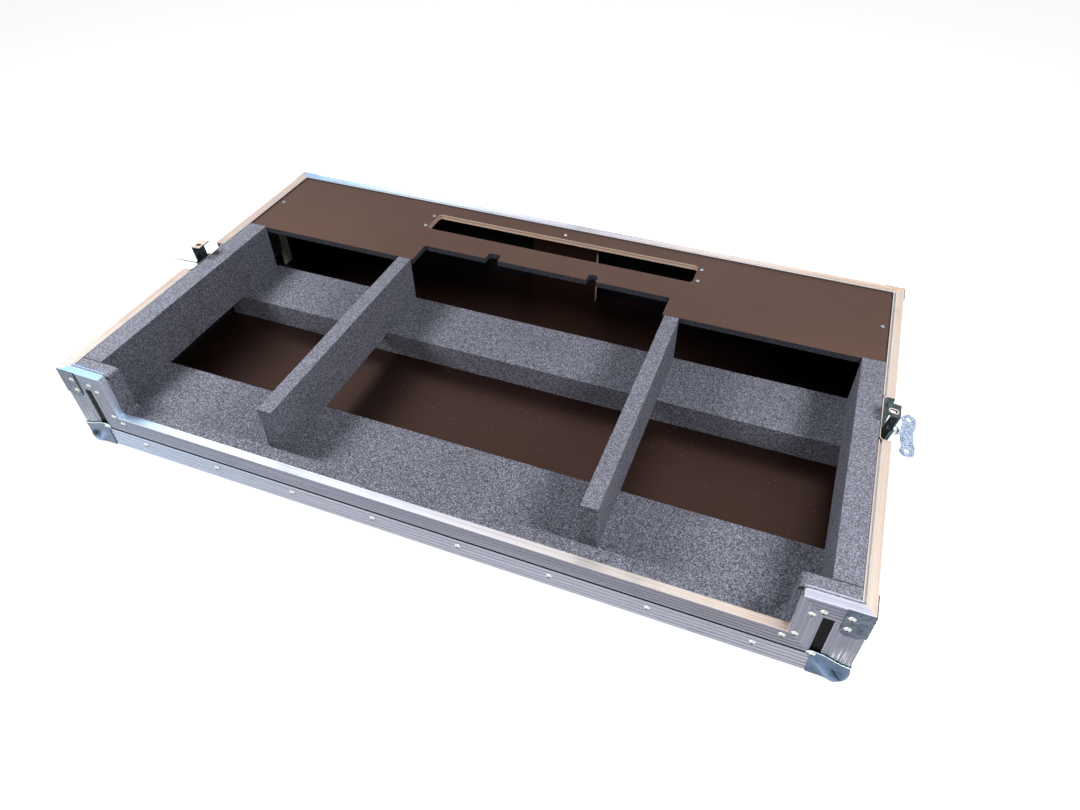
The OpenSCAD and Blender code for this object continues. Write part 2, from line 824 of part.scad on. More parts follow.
// Rivets on the two end faces: edging, corners, braces and the flanges of the dishes
module rivets_ends() {
    turn_x = half_x - half_y;
    flange_mid = dish_flange / 2;
    latch_y = latch_half + flange_mid;
    handle_y = handle_well_width / 2 + flange_mid;
    color("white")
        for (side = [-1, 1]) on_side(side) {
            translate([turn_x, 0, 0]) rotate([0, 0, 90]) front_rivets(end_rivets);
            for (back = [-1, 1]) scale([1, back, 1])
                translate([turn_x, 0, 0]) rotate([0, 0, 90]) translate([-turn_x, 0, 0]) {
                    front_rivets([leaf_rivet], corner_sheet);
                    front_rivets(brace_rivets, corner_sheet);
                }
            for (y = [-1, 1], z = flange_rivet_shares) {
                translate([half_x, y * latch_y, flange_low + (flange_high - flange_low) * z])
                    rotate([0, 90, 0]) rivet_head();
                translate([half_x, handle_offset + y * handle_y,
                    flange_low + (flange_high - flange_low) * z])
                    rotate([0, 90, 0]) rivet_head();
            }
        }
}

// Screws in the shelf: four round the slot's ends, two into the battens, one in the middle
module shelf_screws() {
    slot_x = slot_length / 2 + screw_radius * slot_screw_share;
    slot_dy = slot_width * slot_pitch_share;
    end_x = inner_x - batten_size * batten_screw_share;
    driver_half = screw_radius * driver_length_share / 2;
    driver_width = screw_radius * driver_width_share;
    places = [[-slot_x, slot_y - slot_dy], [-slot_x, slot_y + slot_dy],
        [slot_x, slot_y - slot_dy], [slot_x, slot_y + slot_dy],
        [-end_x, side_screw_y], [end_x, side_screw_y], [0, support_y + panel_thickness / 2]];
    color("white")
        for (p = places) translate([p[0], p[1], top_z])
            difference() {
                cylinder(h = screw_height, r1 = screw_radius, r2 = screw_radius * screw_top_share);
                for (a = [0, 90]) rotate([0, 0, a])
                    translate([-driver_half, -driver_width / 2, screw_height * driver_floor_share])
                        cube([2 * driver_half, driver_width, screw_height]);
            }
}

// Butterfly latches

// Half of a dish wall seen from above: a trough with rounded inner corners
module trough(width, depth, radius) {
    translate([depth / 2, 0]) round_plate(depth, width, radius);
    translate([depth / 2, -width / 2]) square([depth / 2, width]);
}

// Pressed dish with a flange on the wall and an open top, and two hinge lugs inside
module latch_dish(side) {
    depth = half_x - well_back;
    width = latch_well_width;
    lug_y = carrier_width / 2 + plate_gap;
    color("lightsteelblue") on_side(side) {
        difference() {
            union() {
                translate([well_back - dish_sheet, 0, latch_floor - dish_sheet])
                    linear_extrude(rim_z - latch_floor + dish_sheet)
                        trough(width + 2 * dish_sheet, depth + dish_sheet,
                            latch_well_round + dish_sheet);
                translate([flange_x, -latch_half - dish_flange, flange_low])
                    cube([dish_sheet, 2 * (latch_half + dish_flange), flange_high - flange_low]);
            }
            translate([well_back, 0, latch_floor]) linear_extrude(rim_z)
                trough(width, depth + cut, latch_well_round);
        }
        for (y = [-lug_y - lug_thickness, lug_y])
            difference() {
                union() {
                    translate([well_back, y, hinge_z - knuckle_radius])
                        cube([hinge_x - well_back, lug_thickness, 2 * knuckle_radius]);
                    translate([hinge_x, y, hinge_z]) rotate([-90, 0, 0])
                        cylinder(h = lug_thickness, r = knuckle_radius);
                }
                translate([hinge_x, y - cut, hinge_z]) rotate([-90, 0, 0])
                    cylinder(h = lug_thickness + 2 * cut, r = hinge_pin_radius + pin_clearance);
            }
    }
}

// Hinge pins, fixed in the lugs
module latch_hinge_pins() {
    pin_length = carrier_width + 2 * (plate_gap + lug_thickness);
    color("white")
        for (side = [-1, 1]) on_side(side)
            translate([hinge_x, -pin_length / 2, hinge_z]) rotate([-90, 0, 0])
                cylinder(h = pin_length, r = hinge_pin_radius);
}

// Put a latch piece, drawn upright about its hinge, where the photograph shows it
module latch_place(side) {
    on_side(side)
        translate([hinge_x, 0, hinge_z])
            rotate([0, side > 0 ? right_lean : left_lean, 0]) children();
}

// Put a piece that turns with the spindle on the carrier
module spindle_place(side) {
    latch_place(side)
        translate([0, 0, spindle_reach]) rotate([side > 0 ? 0 : left_turn, 0, 0]) children();
}

// Plate on a knuckle, with two rolled guides that hold the hook plate
module latch_carrier(side) {
    plate_top = spindle_reach + eccentric_throw + eccentric_radius + 2 * eccentric_play;
    guide_low = spindle_reach - eccentric_radius - 2 * eccentric_throw;
    color("lightsteelblue") latch_place(side)
        difference() {
            union() {
                rotate([-90, 0, 0]) translate([0, 0, -carrier_width / 2])
                    cylinder(h = carrier_width, r = knuckle_radius);
                translate([-plate_front, -carrier_width / 2, 0])
                    cube([carrier_thickness, carrier_width, plate_top]);
                for (y = [-1, 1]) scale([1, y, 1]) {
                    translate([plate_front - plate_gap, guide_half, guide_low])
                        cube([hub_back - plate_front + guide_wall + plate_gap,
                            guide_wall, plate_top - guide_low]);
                    translate([hub_back, guide_half - guide_wall, guide_low])
                        cube([guide_wall, 2 * guide_wall, plate_top - guide_low]);
                }
            }
            rotate([-90, 0, 0]) translate([0, 0, -carrier_width])
                cylinder(h = 2 * carrier_width, r = hinge_pin_radius + pin_clearance);
            translate([-carrier_thickness, 0, spindle_reach]) rotate([0, 90, 0])
                cylinder(h = 2 * carrier_thickness, r = spindle_radius + pin_clearance);
        }
}

// Two circles joined by straight sides, along x
module oval_outline(reach, radius) {
    for (x = [-reach, reach]) translate([x, 0]) circle(radius);
    square([2 * reach, 2 * radius], center = true);
}

// Hook plate with the eccentric's slot and a deep lip with a collared oval hole
module latch_hook(side) {
    low = spindle_reach - eccentric_radius - 2 * eccentric_throw + plate_gap;
    slot_half = eccentric_throw + eccentric_radius + plate_gap;
    slot_tall = eccentric_radius + eccentric_play;
    oval = hook_lip * oval_radius_share;
    oval_reach = hook_lip * oval_reach_share;
    oval_y = -hook_width * oval_place_share;
    lip_low = hook_reach - hook_thickness;
    color("lightsteelblue") latch_place(side)
        translate([hook_back, 0, side > 0 ? 0 : left_hook_rise])
            difference() {
                union() {
                    translate([0, -hook_width / 2, low])
                        cube([hook_thickness, hook_width, hook_reach - low]);
                    translate([-hook_lip, -hook_width / 2, lip_low])
                        cube([hook_lip + hook_thickness / 2, hook_width, hook_thickness]);
                    translate([-hook_lip / 2, oval_y, lip_low + hook_thickness / 2])
                        linear_extrude(hook_thickness * (1 / 2 + collar_share))
                            oval_outline(oval_reach, oval + hook_thickness);
                }
                translate([-cut, -slot_half, spindle_reach - eccentric_throw - slot_tall])
                    cube([hook_thickness + 2 * cut, 2 * slot_half, 2 * slot_tall]);
                translate([-hook_lip / 2, oval_y, lip_low - cut])
                    linear_extrude(hook_thickness + 2 * cut) oval_outline(oval_reach, oval);
            }
}

// Spindle: riveted head behind, eccentric in the hook, domed hub split for the wing
module latch_spindle(side) {
    dome_base = hub_back + hub_flange;
    head = hub_flange;
    fork_half = knuckle_half + plate_gap;
    wing_room = wing_knuckle + plate_gap;
    color("white") spindle_place(side)
        difference() {
            union() {
                translate([-hook_back - head, 0, 0]) rotate([0, 90, 0])
                    cylinder(h = head, r = spindle_radius * rivet_over_share);
                translate([-hook_back - head / 2, 0, 0]) rotate([0, 90, 0])
                    cylinder(h = dome_base + hook_back, r = spindle_radius);
                translate([hook_back, 0, -eccentric_throw]) rotate([0, 90, 0])
                    cylinder(h = hub_back - hook_back + head / 3, r = eccentric_radius);
                translate([hub_back, 0, 0]) rotate([0, 90, 0])
                    cylinder(h = hub_flange, r = hub_radius);
                rotate([0, 90, 0]) rotate_extrude() intersection() {
                    translate([0, hub_top - hub_radius]) circle(hub_radius);
                    translate([0, hub_back + hub_flange * dome_sink_share]) square(2 * hub_radius);
                }
            }
            translate([dome_base + head / 10, -fork_half, -2 * hub_radius])
                cube([2 * hub_radius, 2 * fork_half, 2 * hub_radius + wing_room]);
            translate([wing_pin_x, -2 * hub_radius, 0]) rotate([-90, 0, 0])
                cylinder(h = 4 * hub_radius, r = wing_pin_radius + pin_clearance);
        }
}

// Cross pin of the wing, held by the two cheeks of the hub
module wing_pin(side) {
    pin_half = hub_radius * pin_half_share;
    color("white") spindle_place(side)
        translate([wing_pin_x, -pin_half, 0]) rotate([-90, 0, 0])
            cylinder(h = 2 * pin_half, r = wing_pin_radius);
}

// Butterfly wing on a knuckle: narrow neck, two round lobes with a hole in each
module latch_wing(side) {
    lobe_y = wing_span / 2 - lobe_radius;
    lobe_x = wing_reach - lobe_radius;
    neck = hub_radius + plate_gap;
    hollow = wing_span * hollow_share;
    side_x = lobe_x - lobe_radius * lobe_side_share;
    foot_y = lobe_y - lobe_radius * lobe_foot_share;
    color("lightsteelblue") spindle_place(side)
        translate([wing_pin_x, 0, 0]) rotate([0, -wing_lift, 0])
            difference() {
                union() {
                    rotate([-90, 0, 0]) translate([0, 0, -knuckle_half])
                        cylinder(h = 2 * knuckle_half, r = wing_knuckle);
                    translate([0, 0, -wing_thickness / 2]) linear_extrude(wing_thickness)
                        difference() {
                            union() {
                                translate([0, -knuckle_half]) square([neck + plate_gap, 2 * knuckle_half]);
                                polygon([[neck, -knuckle_half], [neck, knuckle_half],
                                    [side_x, foot_y], [wing_reach, lobe_y], [wing_reach, -lobe_y],
                                    [side_x, -foot_y]]);
                                for (y = [-1, 1]) translate([lobe_x, y * lobe_y]) circle(lobe_radius);
                            }
                            for (y = [-1, 1]) translate([lobe_x, y * lobe_y]) circle(lobe_hole);
                            translate([wing_reach + hollow * hollow_place_share, 0]) circle(hollow);
                        }
                }
                translate([0, -2 * hub_radius, 0]) rotate([-90, 0, 0])
                    cylinder(h = 4 * hub_radius, r = wing_pin_radius + pin_clearance);
            }
}

// Recessed spring handles

// Pressed dish with a flange all round and bores for the handle's stub pins
module handle_dish(side) {
    outer_width = handle_well_width + 2 * dish_sheet;
    outer_height = handle_well_height + 2 * dish_sheet;
    color("lightsteelblue") on_side(side)
        difference() {
            union() {
                translate([well_back - dish_sheet, handle_offset, handle_mid_z])
                    rotate([90, 0, 90]) linear_extrude(half_x - well_back)
                        square([outer_width, outer_height], center = true);
                translate([flange_x, handle_offset, handle_mid_z]) rotate([90, 0, 90])
                    linear_extrude(dish_sheet)
                        round_plate(outer_width + 2 * dish_flange, flange_high - flange_low,
                            latch_well_round);
            }
            translate([well_back, handle_offset, handle_mid_z]) rotate([90, 0, 90])
                linear_extrude(rim_width)
                    square([handle_well_width, handle_well_height], center = true);
            translate([handle_axis_x, handle_offset - handle_well_width, handle_axis_z])
                rotate([-90, 0, 0])
                    cylinder(h = 2 * handle_well_width, r = stub_radius + pin_clearance);
        }
}

// Steel bail: two arms, the rod between them and a stub pin on each arm
module handle_bail(side) {
    stub_start = arm_outer - plate_gap - arm_thickness / 2;
    stub_end = handle_well_width / 2 + dish_sheet;
    eye = stub_radius * eye_share;
    color("white") on_side(side)
        translate([handle_axis_x, handle_offset, handle_axis_z]) {
            for (y = [-1, 1]) scale([1, y, 1]) {
                translate([0, arm_outer - plate_gap, 0]) rotate([90, 0, 0])
                    linear_extrude(arm_thickness) {
                        circle(eye);
                        translate([-eye, -handle_drop]) square([2 * eye, handle_drop]);
                        translate([0, -handle_drop]) circle(eye);
                    }
                translate([0, stub_start, 0]) rotate([-90, 0, 0])
                    cylinder(h = stub_end - stub_start, r = stub_radius);
            }
            translate([0, -arm_outer + arm_thickness, -handle_drop]) rotate([-90, 0, 0])
                cylinder(h = 2 * (arm_outer - arm_thickness), r = rod_radius);
        }
}

// Rubber sleeve on the rod
module handle_grip(side) {
    grip_half = arm_outer - arm_thickness - 2 * plate_gap;
    color([0.1, 0.1, 0.1]) on_side(side)
        translate([handle_axis_x, handle_offset - grip_half, handle_axis_z - handle_drop])
            rotate([-90, 0, 0])
                difference() {
                    cylinder(h = 2 * grip_half, r = grip_radius);
                    translate([0, 0, -cut])
                        cylinder(h = 2 * grip_half + 2 * cut, r = rod_radius + pin_clearance);
                }
}

floor_panel();
front_panel();
rear_panel();
end_panel(-1);  // left_panel
end_panel(1);  // right_panel
rear_shelf();
shelf_battens();
shelf_support_board();
batten_straps();
bottom_edging_long(1);  // bottom_edging_front
bottom_edging_long(-1);  // bottom_edging_rear
bottom_edging_end(-1);  // bottom_edging_left
bottom_edging_end(1);  // bottom_edging_right
corner_edging(-1, 1);  // corner_edging_front_left
corner_edging(1, 1);  // corner_edging_front_right
corner_edging(-1, -1);  // corner_edging_rear_left
corner_edging(1, -1);  // corner_edging_rear_right
rim_end(-1);  // rim_left
rim_end(1);  // rim_right
rim_rear();
front_lip();
step_profiles();
block_caps();
ball_corner(-1, 1);  // ball_corner_front_left
ball_corner(1, 1);  // ball_corner_front_right
ball_corner(-1, -1);  // ball_corner_rear_left
ball_corner(1, -1);  // ball_corner_rear_right
top_braces(1);  // top_braces_front
top_braces(-1);  // top_braces_rear
foam_front();
foam_side(-1);  // foam_side_left
foam_side(1);  // foam_side_right
foam_divider(-1);  // foam_divider_left
foam_divider(1);  // foam_divider_right
foam_low_front();
foam_low_rear();
rivets_front();
rivets_rear();
rivets_ends();
shelf_screws();
latch_dish(-1);  // latch_dish_left
latch_dish(1);  // latch_dish_right
latch_hinge_pins();
latch_carrier(-1);  // latch_carrier_left
latch_carrier(1);  // latch_carrier_right
latch_hook(-1);  // latch_hook_left
latch_hook(1);  // latch_hook_right
latch_spindle(-1);  // latch_spindle_left
latch_spindle(1);  // latch_spindle_right
latch_wing(-1);  // latch_wing_left
latch_wing(1);  // latch_wing_right
wing_pin(-1);  // wing_pin_left
wing_pin(1);  // wing_pin_right
handle_dish(-1);  // handle_dish_left
handle_dish(1);  // handle_dish_right
handle_bail(-1);  // handle_bail_left
handle_bail(1);  // handle_bail_right
handle_grip(-1);  // handle_grip_left
handle_grip(1);  // handle_grip_right
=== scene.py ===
import math

import bmesh
import bpy
from mathutils import Matrix, Vector


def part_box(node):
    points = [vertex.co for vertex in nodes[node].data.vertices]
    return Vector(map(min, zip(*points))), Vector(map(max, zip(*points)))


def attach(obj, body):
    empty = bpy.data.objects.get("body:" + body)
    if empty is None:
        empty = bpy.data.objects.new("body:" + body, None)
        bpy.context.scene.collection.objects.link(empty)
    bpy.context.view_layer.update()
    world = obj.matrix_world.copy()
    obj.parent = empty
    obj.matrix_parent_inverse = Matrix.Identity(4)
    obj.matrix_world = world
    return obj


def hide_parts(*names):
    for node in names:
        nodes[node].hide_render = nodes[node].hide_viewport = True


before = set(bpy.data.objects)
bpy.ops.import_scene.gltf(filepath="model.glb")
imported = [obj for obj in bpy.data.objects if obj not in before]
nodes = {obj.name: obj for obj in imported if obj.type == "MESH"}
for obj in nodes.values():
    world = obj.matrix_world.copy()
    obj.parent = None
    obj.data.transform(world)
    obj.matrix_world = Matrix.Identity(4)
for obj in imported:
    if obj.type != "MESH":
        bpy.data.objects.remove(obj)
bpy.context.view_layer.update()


# ---------------------------------------------------------------- camera and lamps
# The camera stands in front of the case's right end, 1.3 m from its middle, as for the photograph.
# Two near lamps do most of the lighting; a weak one in front and one behind fill in.

camera_place = (0.4006, -0.8633, 0.8898)
camera_right = (0.93164539, 0.36326388, -0.00873065)
camera_up = (-0.24350751, 0.64198512, 0.72702077)
camera_back = (0.26970533, -0.67519957, 0.68655996)

camera_data = bpy.data.cameras.new("photo_camera")
camera_data.sensor_width = 36
camera_data.lens = 26.05
camera_data.shift_x = 0.00246
camera_data.shift_y = -0.00578
camera_data.clip_start = 0.01
camera = bpy.data.objects.new("photo_camera", camera_data)
camera.matrix_world = Matrix((*zip(camera_right, camera_up, camera_back, camera_place), (0, 0, 0, 1)))
bpy.context.scene.collection.objects.link(camera)
bpy.context.scene.camera = camera
bpy.context.scene.view_settings.view_transform = "Standard"

# name, place, what it looks at, side in metres, power in watts
softboxes = (
    ("left_softbox", (-1.05, -0.40, 1.12), (-0.2, -0.12, 0.10), 0.4, 15),
    ("right_softbox", (1.20, -0.34, 1.10), (0.2, -0.10, 0.10), 0.4, 13),
    ("front_softbox", (0.0, -1.70, 0.75), (0.0, 0.10, 0.06), 0.6, 2.5),
    ("rear_softbox", (0.2, 1.70, 0.90), (0.0, 0.0, 0.06), 0.6, 1.5))

for name, place, aim, side, power in softboxes:
    lamp = bpy.data.lights.new(name, "AREA")
    lamp.shape = "SQUARE"
    lamp.size = side
    lamp.energy = power
    held = bpy.data.objects.new(name, lamp)
    held.location = place
    held.rotation_euler = (Vector(aim) - Vector(place)).to_track_quat("-Z", "Y").to_euler()
    bpy.context.scene.collection.objects.link(held)


# ---------------------------------------------------------------- studio
# A plain white floor and white air. Both look white to the camera and in reflections, but
# they give the case little light, so its shadows stay.


class Value:
    """What one node hands on, so that sums on it read as sums."""

    def __init__(self, network, socket):
        self.network = network
        self.socket = socket

    def maths(self, operation, *inputs, clamp=False):
        settings = {"operation": operation, "use_clamp": clamp}
        return self.network.node("ShaderNodeMath", settings, *inputs)

    def __add__(self, other):
        return self.maths("ADD", self, other)

    def __radd__(self, other):
        return self.maths("ADD", other, self)

    def __sub__(self, other):
        return self.maths("SUBTRACT", self, other)

    def __rsub__(self, other):
        return self.maths("SUBTRACT", other, self)

    def __mul__(self, other):
        return self.maths("MULTIPLY", self, other)

    def __rmul__(self, other):
        return self.maths("MULTIPLY", other, self)

    def __gt__(self, other):
        return self.maths("GREATER_THAN", self, other)

    def __lt__(self, other):
        return self.maths("LESS_THAN", self, other)

    def __abs__(self):
        return self.maths("ABSOLUTE", self)

    def held(self):
        """The same value, held between 0 and 1."""
        return self.maths("ADD", self, 0.0, clamp=True)


class Network:
    """The nodes of a material or of the world, and what they have in common."""

    def __init__(self, tree, output):
        self.tree = tree
        self.tree.nodes.clear()
        self.output = self.tree.nodes.new(output)

    def node(self, kind, settings=None, *inputs, out=0, **named):
        """Any node: its settings first, then the values or links of its sockets."""
        made = self.tree.nodes.new(kind)
        for key, value in (settings or {}).items():
            if key == "stops":
                ramp = made.color_ramp.elements
                while len(ramp) < len(value):
                    ramp.new(0.5)
                for element, (place, colour) in zip(ramp, value):
                    element.position = place
                    element.color = (*colour, 1)
            else:
                setattr(made, key, value)
        for place, value in enumerate(inputs):
            self.feed(made.inputs[place], value)
        for key, value in named.items():
            self.feed(made.inputs[key.replace("_", " ")], value)
        return Value(self, made.outputs[out])

    def feed(self, socket, value):
        """Link a value to a socket, or set the socket to a constant."""
        if isinstance(value, Value):
            self.tree.links.new(value.socket, socket)
        elif value is not None:
            if socket.type == "RGBA" and len(value) == 3:
                value = (*value, 1)
            socket.default_value = value

    def seen(self):
        """1 for what the camera, a reflection or a see-through material looks at, else 0."""
        ray = self.tree.nodes.new("ShaderNodeLightPath").outputs
        camera_ray, glossy_ray, transmission_ray = [
            Value(self, ray[name]) for name in ("Is Camera Ray", "Is Glossy Ray", "Is Transmission Ray")]
        return (camera_ray + glossy_ray + transmission_ray).held()

    def finish(self, surface):
        """Put a shader on the output."""
        self.tree.links.new(surface.socket, self.output.inputs["Surface"])


class Finish(Network):
    """A material under construction, in the piece's own coordinates."""

    def __init__(self, name):
        self.material = bpy.data.materials.new(name)
        self.material.use_nodes = True
        super().__init__(self.material.node_tree, "ShaderNodeOutputMaterial")

    def place(self):
        """Where a point is on the case, in metres."""
        return self.node("ShaderNodeTexCoord", out="Object")

    def parts(self, vector):
        """The three parts of a vector."""
        split = self.node("ShaderNodeSeparateXYZ", None, vector)
        return [Value(self, split.socket.node.outputs[i]) for i in range(3)]

    def spot(self):
        """Where a point is, as x, y and z."""
        return self.parts(self.place())

    def faces(self):
        """Which way the surface faces, as x, y and z."""
        return self.parts(self.node("ShaderNodeTexCoord", out="Normal"))

    def stretched(self, x, y, z):
        """The case's coordinates, stretched along some of its axes."""
        return self.node("ShaderNodeVectorMath", {"operation": "MULTIPLY"}, self.place(), (x, y, z))

    def grain(self, scale, detail=2.0, roughness=0.5, along=None):
        """Soft noise, about 0.3 to 0.7."""
        return self.node("ShaderNodeTexNoise", None, Vector=along or self.place(), Scale=scale,
                         Detail=detail, Roughness=roughness)

    def cells(self, scale, channel):
        """How far a point is from its cell's middle, and a chance value that the cell has."""
        near = self.node("ShaderNodeTexVoronoi", {"feature": "F1"}, Vector=self.place(), Scale=scale)
        return near, self.parts(Value(self, near.socket.node.outputs["Color"]))[channel]

    def bands(self, axis, scale, **named):
        """Waves that run across one axis."""
        settings = {"wave_type": "BANDS", "bands_direction": axis}
        return self.node("ShaderNodeTexWave", settings, Vector=self.place(), Scale=scale, **named)

    def ramp(self, value, low, high):
        """0 at low, 1 at high, straight between them and held beyond them."""
        return self.node("ShaderNodeMapRange", None, value, low, high, 0.0, 1.0)

    def blend(self, first, second, amount):
        """One colour going over into another."""
        mixed = self.tree.nodes.new("ShaderNodeMix")
        mixed.data_type = "RGBA"
        for place, value in ((0, amount), (6, first), (7, second)):
            self.feed(mixed.inputs[place], value)
        return Value(self, mixed.outputs[2])

    def bump(self, height, strength, depth):
        """A height that tilts the surface's light, up to a depth in metres."""
        return self.node("ShaderNodeBump", None, Strength=strength, Distance=depth, Height=height)

    def shade(self, **sockets):
        """The finished material."""
        self.finish(self.node("ShaderNodeBsdfPrincipled", None, **sockets))
        return self.material


def deselect():
    bpy.ops.object.select_all(action="DESELECT")


white = (1, 1, 1)
floor_size = 12
floor_glow = 0.88
air_light, air_brightness = 0.05, 1.0

deselect()
bpy.ops.mesh.primitive_plane_add(size=floor_size, location=(0, 0, 0))
studio_floor = bpy.context.object
studio_floor.name = "studio_floor"
paper = Finish("studio_white")
matt_paper = paper.node("ShaderNodeBsdfDiffuse", None, Color=(0.80, 0.80, 0.80))
glow = paper.node("ShaderNodeEmission", None, Color=white, Strength=paper.seen() * floor_glow)
paper.finish(paper.node("ShaderNodeAddShader", None, matt_paper, glow))
studio_floor.data.materials.append(paper.material)

world = bpy.data.worlds.new("studio_air")
world.use_nodes = True
bpy.context.scene.world = world
air = Network(world.node_tree, "ShaderNodeOutputWorld")
air_strength = air_light + air.seen() * (air_brightness - air_light)
air.finish(air.node("ShaderNodeBackground", None, Color=white, Strength=air_strength))


# ---------------------------------------------------------------- plywood walls
# Four panels of 9.5 mm plywood faced with a dark phenolic laminate, fixed inside the edging.
# The front is cut low in the middle; each end has a notch for its latch and a handle opening.


def dress(material, *names):
    """Give CAD nodes a material, in every slot that they have."""
    for name in names:
        mesh = nodes[name].data
        mesh.materials.clear()
        mesh.materials.append(material)


front_face = -0.31

wall = Finish("dark_laminate")
pebble = wall.grain(420, 3, 0.6)
film = wall.grain(9, 4, 0.6)
wall_colour = wall.blend((0.003, 0.003, 0.0045), (0.010, 0.0095, 0.012), wall.ramp(film, 0.35, 0.7))
# Painted shade: the front panel's outer face, seen only in the gap under the lip, is near black.
wall_colour = wall.blend(wall_colour, (0.001, 0.001, 0.0016), wall.spot()[1] < front_face)
dress(wall.shade(
    Base_Color=wall_colour,
    Roughness=0.40 + 0.12 * pebble,
    Normal=wall.bump(pebble, 0.35, 0.00015),
    Specular_IOR_Level=0.05), "front_panel", "rear_panel", "left_panel", "right_panel")


# ---------------------------------------------------------------- floor, battens and board
# The floor is the same plywood with a glossy dark brown film, with specks of dust. Battens on
# the ends and a board on edge in the middle carry the shelf; the board's ends are bare.

board_reach = 0.3
floor_top = 0.013

floor = Finish("brown_film")
drift = floor.grain(5, 3, 0.55)
floor_colour = floor.blend((0.006, 0.003, 0.0025), (0.010, 0.005, 0.004), floor.ramp(drift, 0.3, 0.7))
from_speck, speck_chance = floor.cells(130.0, 0)
from_fine_speck, fine_speck_chance = floor.cells(420.0, 1)
speck = (from_speck < 0.09) * (speck_chance > 0.80)
fine_speck = (from_fine_speck < 0.16) * (fine_speck_chance > 0.90)
dusty_patch = floor.ramp(floor.grain(7, 2, 0.5), 0.42, 0.62)
specks = (speck + fine_speck * dusty_patch).held()
floor_colour = floor.blend(floor_colour, (0.42, 0.39, 0.36), specks * 0.55)
floor_x, _, floor_z = floor.spot()
bare_end = (abs(floor.faces()[0]) > 0.9) * (abs(floor_x) < board_reach) * (floor_z > floor_top)
floor_colour = floor.blend(floor_colour, (0.66, 0.55, 0.46), bare_end)
dress(floor.shade(
    Base_Color=floor_colour,
    Roughness=0.30 + 0.10 * drift + 0.3 * specks,
    Normal=floor.bump(floor.grain(260, 2, 0.5), 0.25, 0.00008),
    Specular_IOR_Level=0.62,
    Specular_Tint=(1.0, 0.51, 0.40)), "floor_panel", "shelf_battens", "shelf_support_board")


# ---------------------------------------------------------------- rear shelf
# A plywood shelf with a satin brown film on top. Its front edge is painted dark grey and
# rounded over; the cable slot's edge is bare, so the layers of the ply show in it.

slot_front = 0.205

shelf = Finish("brown_shelf")
cloud = shelf.grain(4, 3, 0.55)
top_film = shelf.blend((0.125, 0.072, 0.055), (0.150, 0.088, 0.069), shelf.ramp(cloud, 0.3, 0.7))
rubbed = shelf.grain(1.0, 4, 0.7, shelf.stretched(60, 420, 60))
top_film = shelf.blend(top_film, (0.20, 0.17, 0.15), shelf.ramp(rubbed, 0.62, 0.85) * 0.25)
layers = shelf.bands("Z", 52.0, Distortion=0.6, Detail=2.0)
ply = shelf.blend((0.50, 0.31, 0.22), (0.80, 0.62, 0.52), layers)
ply = shelf.blend(ply, (0.42, 0.27, 0.20), shelf.ramp(shelf.grain(700, 3, 0.7), 0.55, 0.8) * 0.5)
thin_paint = shelf.ramp(shelf.grain(500, 3, 0.6), 0.45, 0.75)
paint = shelf.blend((0.035, 0.036, 0.045), (0.10, 0.10, 0.12), thin_paint)
faces_up = shelf.faces()[2]
upright = abs(faces_up) < 0.6
edge = shelf.blend(paint, ply, shelf.spot()[1] > slot_front)
shelf_colour = shelf.blend(top_film, edge, upright)
# Painted shade: the shelf's underside is near black.
shelf_colour = shelf.blend(shelf_colour, (0.012, 0.010, 0.010), faces_up < -0.6)
satin = shelf.grain(600, 2, 0.5)
dress(shelf.shade(
    Base_Color=shelf_colour,
    Roughness=0.42 + 0.10 * satin + 0.2 * upright,
    Normal=shelf.bump(satin, 0.2, 0.00008),
    Specular_IOR_Level=0.12), "rear_shelf")


# ---------------------------------------------------------------- aluminium edging
# Extruded angle and closing profile, satin, with fine draw lines along each run. Angles
# run along the bottom and up the corners; closing profile caps the low lip and the steps.

case_reach = 0.57
rim_top = 0.1452
lip_top = 0.0698
rim_groove_low, rim_groove_high = 0.1402, 0.1455
long_groove = (0.3054, 0.3084)
end_groove = (0.5554, 0.5584)
front_joint_low, front_joint_high = 0.0386, 0.0394
corner_inner = 0.5455
step_reach = 0.45


